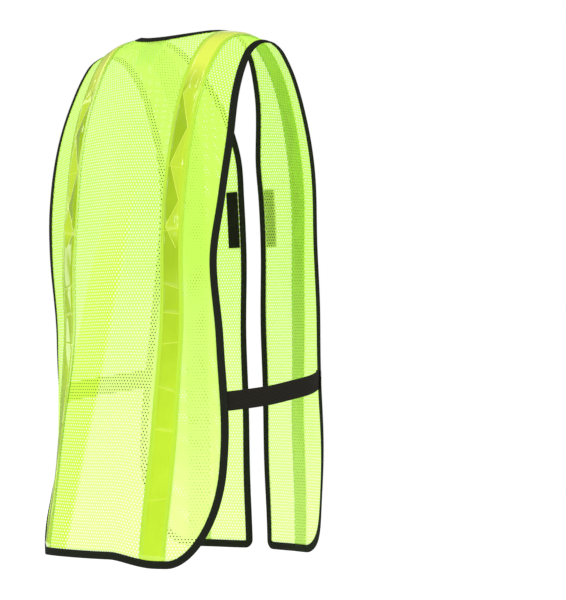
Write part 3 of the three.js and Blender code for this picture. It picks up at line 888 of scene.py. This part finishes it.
def strap_route(side):
    """Points in mm along the middle of one strap, back edge to front edge."""
    depth = -(1.2 + STRAP_GAP + STRAP_THICK / 2)

    def under(t, inset):
        s = side * (float(half_width_at(t)[0]) - inset)
        return draped(s, t, depth).reshape(3) / MM

    back = [under(STRAP_BACK_T, STRAP_SEWN), under(STRAP_BACK_T, 0)]
    front = [under(-STRAP_FRONT_T, 0), under(-STRAP_FRONT_T, STRAP_SEWN)]
    heights = back[1][2] + (front[0][2] - back[1][2]) * np.array([0.25, 0.5, 0.75])
    waist = [(side * (STRAP_BULGE + out), y, z)
             for out, y, z in zip((0, 3, -4), (38, 0, -42), heights)]
    points = np.array([*back, *waist, *front])
    so_far = walked(points)
    at = smooth([(w, *p) for w, p in zip(so_far, points)])
    return at(np.linspace(0, so_far[-1], STRAP_POINTS))


def route_length(route):
    return float(np.linalg.norm(np.diff(route, axis=0), axis=1).sum())


def strap_piece(hand, side):
    route = strap_route(side)
    tangent = np.gradient(route, axis=0)
    out = np.stack([side * -tangent[:, 1], side * tangent[:, 0], np.zeros(len(route))], 1)
    out *= np.sign((out[:, :1] * side).mean())
    out /= np.linalg.norm(out, axis=1, keepdims=True)
    across = np.linspace(-STRAP_WIDTH / 2, STRAP_WIDTH / 2, RIBS * 6 + 1)
    rib = RIB_HEIGHT * np.abs(np.sin(np.pi * RIBS * (across / STRAP_WIDTH + 0.5)))
    edge = 1 - np.clip((np.abs(across) - STRAP_WIDTH / 2 + 0.8) / 0.8, 0, 1) ** 2 * 0.6
    half = (STRAP_THICK / 2 - RIB_HEIGHT + rib) * edge
    middle = route[:, None, :] + np.array([0, 0, 1]) * across[None, :, None]
    layers = [(middle + sign * half[None, :, None] * out[:, None, :]) * MM for sign in (-1, 1)]
    u, v = np.meshgrid(across * MM, walked(route) * MM)
    print(hand, "strap length, mm", round(route_length(route)))
    return slab_piece(f"{hand}_elastic_strap", *layers, u, v, ELASTIC)


strap = each_hand(strap_piece)

# %% [markdown]
# ## Small cloth pieces
# A twill tape covers each shoulder seam inside, so it doesn't chafe. A satin label is caught under
# the neck binding; it stays blank. The closure is a patch of hooks inside the left front and a
# patch of loops outside the right one.

# %% Tapes, label and patches
SEAM_START, SEAM_END, SEAM_TAPE_HALF_WIDTH = 84, 147, 6
LABEL_HALF_WIDTH, LABEL_TOP, LABEL_FOOT = 20, 50, 98
PATCH_TOP, PATCH_LENGTH, PATCH_WIDTH = 262, 76, 20
PATCH_START = FRONT_EDGE + BINDING + 0.8


def ribbon_piece(name, s, t, heights, material, edge=0.0):
    """A thin closed slab over a grid; edge raises the rim like a selvedge, in mm."""
    rim = np.zeros(s.shape)
    rim[0], rim[-1], rim[:, 0], rim[:, -1] = edge, edge, edge, edge
    low = draped(s, t, heights[0])
    return slab_piece(name, low, draped(s, t, heights[1] + rim), s * MM, t * MM, material)


def seam_tape(hand, side):
    s, t = np.meshgrid(np.linspace(SEAM_START, SEAM_END, 40),
                       np.linspace(-SEAM_TAPE_HALF_WIDTH, SEAM_TAPE_HALF_WIDTH, 13))
    return ribbon_piece(f"{hand}_seam_tape", side * s, t, (-1.2, -0.75), LIME_TWILL, 0.05)


def care_label():
    s, t = np.meshgrid(np.linspace(-LABEL_HALF_WIDTH, LABEL_HALF_WIDTH, 33),
                       np.linspace(LABEL_TOP, LABEL_FOOT, 39))
    curl = 2.2 * fade(t, LABEL_TOP + 20, LABEL_FOOT) * (0.6 + 0.4 * np.cos(s / 9))
    low, high = draped(s, t, -2.6 - curl), draped(s, t, -2.3 - curl)
    return slab_piece("blank_care_label", low, high, s * MM, t * MM, LABEL_SATIN)


def patch_grid(side, pitch):
    columns = np.linspace(PATCH_START, PATCH_START + PATCH_WIDTH, int(PATCH_WIDTH / pitch) + 1)
    rows = np.linspace(PATCH_TOP, PATCH_TOP + PATCH_LENGTH, int(PATCH_LENGTH / pitch) + 1)
    return np.meshgrid(side * columns, -rows)


def closure_patch(name, side, heights):
    edge = 0.15 if heights[0] > 0 else 0.0
    return ribbon_piece(name, *patch_grid(side, 2.0), heights, HOOK_TAPE, edge)


seam_tapes = each_hand(seam_tape)
label = care_label()
hook_patch = closure_patch("hook_tape", 1, (-2.0, -1.2))
loop_patch = closure_patch("loop_tape", -1, (1.2, 2.0))

# %% [markdown]
# ## Geometry Nodes for stitches, hooks and loops
# Machine stitching is a row of small capsules of thread, laid end to end. The tree resamples a
# seam line to the stitch length, places one capsule on each point along the line, and makes the
# copies real. Hooks and loops are the same idea on a grid of points.

# %% Stitch and pile trees
STITCH = 3.0
THREAD = 0.42
STITCH_SHARE = 0.42  # half a capsule's length, as a share of the stitch
HOOK_THREAD = 0.12


def stitch_tree():
    tree, given = node_group("stitch_row", "Spacing", "Thread")
    line = add(tree, "GeometryNodeMeshToCurve", {"Mesh": given["Geometry"]})
    points = add(tree, "GeometryNodeCurveToPoints", {
        "Curve": line, "Length": given["Spacing"]}, mode="LENGTH").outputs
    turned = add(tree, "FunctionNodeAlignRotationToVector", {"Vector": points["Tangent"]},
                 axis="X")
    long = add(tree, "ShaderNodeMath", {0: given["Spacing"], 1: STITCH_SHARE},
               operation="MULTIPLY")
    size = add(tree, "ShaderNodeCombineXYZ", {
        "X": long, "Y": given["Thread"], "Z": given["Thread"]})
    bead = add(tree, "GeometryNodeMeshIcoSphere", {"Radius": 1.0, "Subdivisions": 1})
    soft = add(tree, "GeometryNodeSetShadeSmooth", {"Geometry": bead})
    placed = add(tree, "GeometryNodeInstanceOnPoints", {
        "Points": points["Points"], "Instance": soft, "Rotation": turned, "Scale": size})
    return finish_tree(tree, given, placed)


def pile_tree():
    """Small hooks standing on every point of a sheet, with a fixed seed for their lean."""
    tree, given = node_group("closure_pile", "Height", "Lean")
    arc = add(tree, "GeometryNodeCurveArc", {
        "Resolution": 5, "Radius": given["Height"], "Sweep Angle": math.radians(200)})
    section = add(tree, "GeometryNodeCurvePrimitiveCircle", {
        "Resolution": 3, "Radius": HOOK_THREAD * MM})
    stem = add(tree, "GeometryNodeCurveToMesh", {
        "Curve": arc, "Profile Curve": section, "Fill Caps": True})
    upright = add(tree, "GeometryNodeTransform", {
        "Geometry": stem, "Rotation": (math.radians(90), 0, 0)})
    normal = add(tree, "GeometryNodeInputNormal")
    stand = add(tree, "FunctionNodeAlignRotationToVector", {"Vector": normal}, axis="Z")
    turn = add(tree, "FunctionNodeRandomValue", {"Seed": 7}, data_type="FLOAT_VECTOR")
    spread = add(tree, "ShaderNodeVectorMath", {0: turn, "Scale": given["Lean"]},
                 operation="SCALE")
    euler = add(tree, "FunctionNodeEulerToRotation", {0: spread})
    both = add(tree, "FunctionNodeRotateRotation", {0: stand, 1: euler}, rotation_space="LOCAL")
    placed = add(tree, "GeometryNodeInstanceOnPoints", {
        "Points": given["Geometry"], "Instance": upright, "Rotation": both})
    return finish_tree(tree, given, placed)


STITCHES = stitch_tree()
PILE = pile_tree()


# %% Stitches along a line
def stitched(name, lines, material, spacing=STITCH):
    """Stitches along several lines, each an array of points in metres."""
    points, edges = [], []
    for line in lines:
        start = len(points)
        points += np.asarray(line).reshape(-1, 3).tolist()
        edges += [(i, i + 1) for i in range(start, len(points) - 1)]
    mesh = bpy.data.meshes.new(name + "_lines")
    mesh.from_pydata(points, edges, [])
    values = {"Spacing": spacing * MM, "Thread": THREAD * MM / 2, "Material": material}
    return apply_tree(new_object(name + "_lines", mesh), STITCHES, values, name)


def seam_line(path, across, height, inward):
    """A line beside an edge path of (s, t), at a height over the cloth."""
    flat = path + beside(path, inward) * across
    return draped(flat[:, 0], flat[:, 1], height)


def rectangle(s0, s1, t0, t1, height, turns=12):
    corners = [(s0, t0), (s1, t0), (s1, t1), (s0, t1), (s0, t0)]
    walk = np.concatenate([np.linspace(a, b, turns, endpoint=False)
                           for a, b in zip(np.array(corners[:-1]), np.array(corners[1:]))]
                          + [np.array(corners[-1:])])
    return draped(walk[:, 0], walk[:, 1], height)


# %% [markdown]
# ## Where the stitches go
# The binding is sewn two millimetres from its free edge, on both faces. The strips are sewn along
# their flanges with lime thread. The strap ends and the patches have a rectangle, and the label
# and the shoulder seams a row or two.

# %% Stitch rows
BINDING_SEAM = 7.9
BINDING_SURFACE = 0.82
FLANGE_SEAM = 15.4
TACK_INNER, TACK_OUTER, TACK_HALF_WIDTH, TACK_HEIGHT = 8.2, 1.5, 11, 1.28
PATCH_MARGIN, PATCH_SEAM_START = 1.6, 1.4


def binding_seams(name, path, inward):
    lines = [seam_line(path, BINDING_SEAM, h, inward) for h in (BINDING_SURFACE, -BINDING_SURFACE)]
    return stitched(name, lines, BLACK_THREAD)


def strip_seams(name, side, way, hem):
    t = way * np.arange(2, hem - STRIP_END - 11, 4.0)
    lines = []
    for across in (-FLANGE_SEAM, FLANGE_SEAM):
        s = side * (STRIP_CENTRE + across)
        lift = STRIP_HEIGHT + FILM + film_relief(np.full(len(t), across), np.abs(t))
        lines += [draped(s, t, lift + 0.05), draped(s, t, -0.3)]
    return stitched(name, lines, LIME_THREAD)


def strap_tack(name, side, t):
    edge = float(half_width_at(t)[0])
    box = rectangle(side * (edge - TACK_INNER), side * (edge - TACK_OUTER),
                    t - TACK_HALF_WIDTH, t + TACK_HALF_WIDTH, TACK_HEIGHT)
    return stitched(name, [box], BLACK_THREAD, spacing=2.0)


def patch_seams(name, side, height):
    first, last = PATCH_START + PATCH_SEAM_START, PATCH_START + PATCH_WIDTH - PATCH_SEAM_START
    box = rectangle(side * first, side * last, -PATCH_TOP - PATCH_MARGIN,
                    -PATCH_TOP - PATCH_LENGTH + PATCH_MARGIN, height, 24)
    return stitched(name, [box], BLACK_THREAD, spacing=2.4)


def shoulder_seams_of(hand, side):
    s = side * np.linspace(SEAM_START, SEAM_END, 30)
    return stitched(f"{hand}_shoulder_stitches", [draped(s, t, 0.15) for t in (-4.5, 4.5)],
                    LIME_THREAD, spacing=2.6)


back_seams = binding_seams("back_binding_stitches", back_edge_path(), 1)
neck_seams = binding_seams("neck_binding_stitches", neck_path(), 1)
front_seams = each_hand(lambda hand, side: binding_seams(
    f"{hand}_front_binding_stitches", front_edge_path(side), side))
back_strip_seams, front_strip_seams = [
    each_hand(lambda hand, side: strip_seams(f"{hand}_{part}_strip_stitches", side, way, hem))
    for part, way, hem in (("back", 1, BACK_HEM), ("front", -1, FRONT_HEM))]
back_tacks, front_tacks = [
    each_hand(lambda hand, side: strap_tack(f"{hand}_{part}_strap_tack", side, t))
    for part, t in (("back", STRAP_BACK_T), ("front", -STRAP_FRONT_T))]
hook_seams = patch_seams("hook_tape_stitches", 1, -2.05)
loop_seams = patch_seams("loop_tape_stitches", -1, 2.05)
label_seam = stitched("label_stitches", [draped(np.linspace(-19, 19, 20), 53.0, 1.2)],
                      BLACK_THREAD, spacing=2.4)
shoulder_seams = each_hand(shoulder_seams_of)


# %% Hooks and loops
def pile(name, side, height, size, lean):
    """Hooks or loops over one patch; a height below zero stands them on the inner face."""
    s, t = (grid[1:-1, 1:-1] for grid in patch_grid(side, 1.5))
    bed = make_object(name + "_bed", draped(s, t, height), grid_faces(*s.shape))
    across = bed.data.polygons[0].normal.dot(Vector(outward(s[0, 0], t[0, 0])))
    if across * height < 0:
        bed.data.flip_normals()
    values = {"Height": size * MM, "Lean": lean, "Material": HOOK_TAPE}
    return apply_tree(bed, PILE, values, name)


hooks = pile("hook_pile", 1, -2.0, 0.55, 0.3)
loops = pile("loop_pile", -1, 2.0, 0.65, 2.5)

# %% [markdown]
# ## Which body each piece moves with
# The back and the shoulders stay still: each of their pieces is attached to the root body. Each
# front is one piece of cloth from shoulder to hem; it, everything sewn to it and the straps keep
# their place baked into their meshes.

# %% Bodies, slots and the imported nodes they stand for
STRAP_BEND = (-16, -5)  # points of the strap's route


def worn_with(hand, *pieces):
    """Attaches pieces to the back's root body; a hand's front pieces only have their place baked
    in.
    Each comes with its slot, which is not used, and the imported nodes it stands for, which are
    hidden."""
    for obj, slot, *nodes in pieces:
        if hand == "back":
            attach(obj, "root")
        else:
            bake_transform(obj)
        if nodes:
            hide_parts(*nodes)


worn_with(
    "back", (back_mesh, "mesh", "back_mesh_panel"), (neck_binding, "binding", "neck_binding"),
    (back_binding, "binding", "back_hem_binding", "left_armhole_binding",
     "right_armhole_binding"),
    (label, "label", "care_label"), (back_seams, "binding"), (neck_seams, "binding"),
    (label_seam, "binding"))
for hand, side in HANDS:
    worn_with(
        "back", (back_strip[hand], "strip", f"{hand}_long_strip"),
        (seam_tapes[hand], "seam_tape", f"{hand}_shoulder_seam_tape"),
        (back_strip_seams[hand], "strip"), (back_tacks[hand], "binding"),
        (shoulder_seams[hand], "seam_tape"))
    worn_with(
        hand, (front_mesh[hand], "mesh", f"{hand}_yoke_mesh_panel", f"{hand}_front_mesh_panel"),
        (front_binding[hand], "binding", f"{hand}_front_edge_binding",
         f"{hand}_front_side_binding", f"{hand}_front_hem_binding"),
        (front_strip[hand], "strip", f"{hand}_front_strip"), (front_seams[hand], "binding"),
        (front_strip_seams[hand], "strip"), (front_tacks[hand], "binding"))
    start, end = (tuple(strap_route(side)[i] * MM) for i in STRAP_BEND)
    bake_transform(strap[hand])
    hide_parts(f"{hand}_side_strap")
for hand, *closure in (("left", hook_patch, hooks, hook_seams),
                       ("right", loop_patch, loops, loop_seams)):
    worn_with(hand, *((piece, "hook_and_loop") for piece in closure))
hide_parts("hook_patch")
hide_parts("loop_patch")

# %% [markdown]
# ## The sheets of cloth
# The net panels, the film, the elastic, the seam tapes and the label are sheets. The panels' cut
# sizes and each strap's length are worked out here, and the panels' sizes printed. A panel's area
# is worked out on the flat pattern, row by row.

# %% Sheets
def cut_area(hem, way):
    rows, half = rounded_rows(hem, way, 0)
    inner = v_edge_at(-rows)[:, 0] if way < 0 else np.zeros(len(rows))
    widths = half - inner
    area = float(((widths[1:] + widths[:-1]) / 2 * np.diff(rows)).sum())
    if way > 0:
        area = 2 * area - math.pi / 2 * NECK_HALF_WIDTH * BACK_NECK_DEPTH
    return area * MM * MM


back_size = (2 * float(half_width_at(600)[0]) * MM, BACK_HEM * MM)
front_size = ((float(half_width_at(-600)[0]) - FRONT_EDGE) * MM, FRONT_HEM * MM)
cut_area(BACK_HEM, 1)
for hand, side in HANDS:
    cut_area(FRONT_HEM, -1)
    band = (STRAP_WIDTH * MM, route_length(strap_route(side)) * MM)
print("cut sizes, m: back", back_size, "front", front_size)

# %% [markdown]
# ## Stage and light
# A plain white studio: an even white surround, a large pale floor well below the vest, a broad
# lamp high behind it for shape, two tall ones at the sides that draw glints down the vinyl, and a
# soft one in front.

# %% Floor
FLOOR_Z = -1.05


def floor_material():
    material, tree = blank_material("matt_white_paint")
    grain = add(tree, "ShaderNodeTexNoise", {"Scale": 3.0, "Detail": 2.0}).outputs["Fac"]
    tint = add(tree, "ShaderNodeMix", {0: grain, 6: colour("#F6F6F5"), 7: colour("#FBFBFB")},
               data_type="RGBA")
    paint = add(tree, "ShaderNodeBsdfPrincipled", {
        "Base Color": tint, "Roughness": 0.9, "Emission Color": (1, 1, 1, 1),
        "Emission Strength": 0.25})
    add(tree, "ShaderNodeOutputMaterial", {"Surface": paint})
    return material


corners = [(x * 9, y * 9, FLOOR_Z) for x, y in ((-1, -1), (1, -1), (1, 1), (-1, 1))]
floor = make_object("floor", corners, [[0, 1, 2, 3]], material=floor_material())

# %% Lamps
LAMP_TARGET = Vector((0, 0, -0.35))


def lamp(name, azimuth, elevation, distance, size, power):
    a, e = math.radians(azimuth), math.radians(elevation)
    out = Vector((math.sin(a) * math.cos(e), -math.cos(a) * math.cos(e), math.sin(e)))
    data = bpy.data.lights.new(name, "AREA")
    data.shape = "RECTANGLE"
    data.size, data.size_y = size
    data.energy = power
    obj = new_object(name, data)
    obj.location = out * distance + LAMP_TARGET
    obj.rotation_euler = out.to_track_quat("Z", "Y").to_euler()


lamp("key", 196, 42, 2.6, (0.9, 0.9), 14)
lamp("glint", 258, 16, 2.4, (0.25, 1.6), 11)
lamp("edge", 108, 25, 2.4, (0.6, 2.4), 9)
lamp("fill", 40, 20, 2.8, (1.8, 1.8), 5)

# %% Surround
ROOM_LIGHT, ROOM_SHINE = 0.93, 0.25


def surround():
    """White behind the vest and soft light on it, but a darker room in its reflections."""
    world = bpy.data.worlds.new("white_surround")
    world.use_nodes = True
    tree = world.node_tree
    tree.nodes.clear()
    rays = add(tree, "ShaderNodeLightPath").outputs
    room = add(tree, "ShaderNodeMapRange", {
        "Value": rays["Is Glossy Ray"], "To Min": ROOM_LIGHT, "To Max": ROOM_SHINE})
    seen = add(tree, "ShaderNodeMix", {0: rays["Is Camera Ray"], 2: room, 3: 1.0},
               data_type="FLOAT")
    white = add(tree, "ShaderNodeBackground", {"Color": (1, 1, 1, 1), "Strength": seen})
    add(tree, "ShaderNodeOutputWorld", {"Surface": white})
    return world


bpy.context.scene.world = surround()
bpy.context.scene.view_settings.view_transform = "Standard"
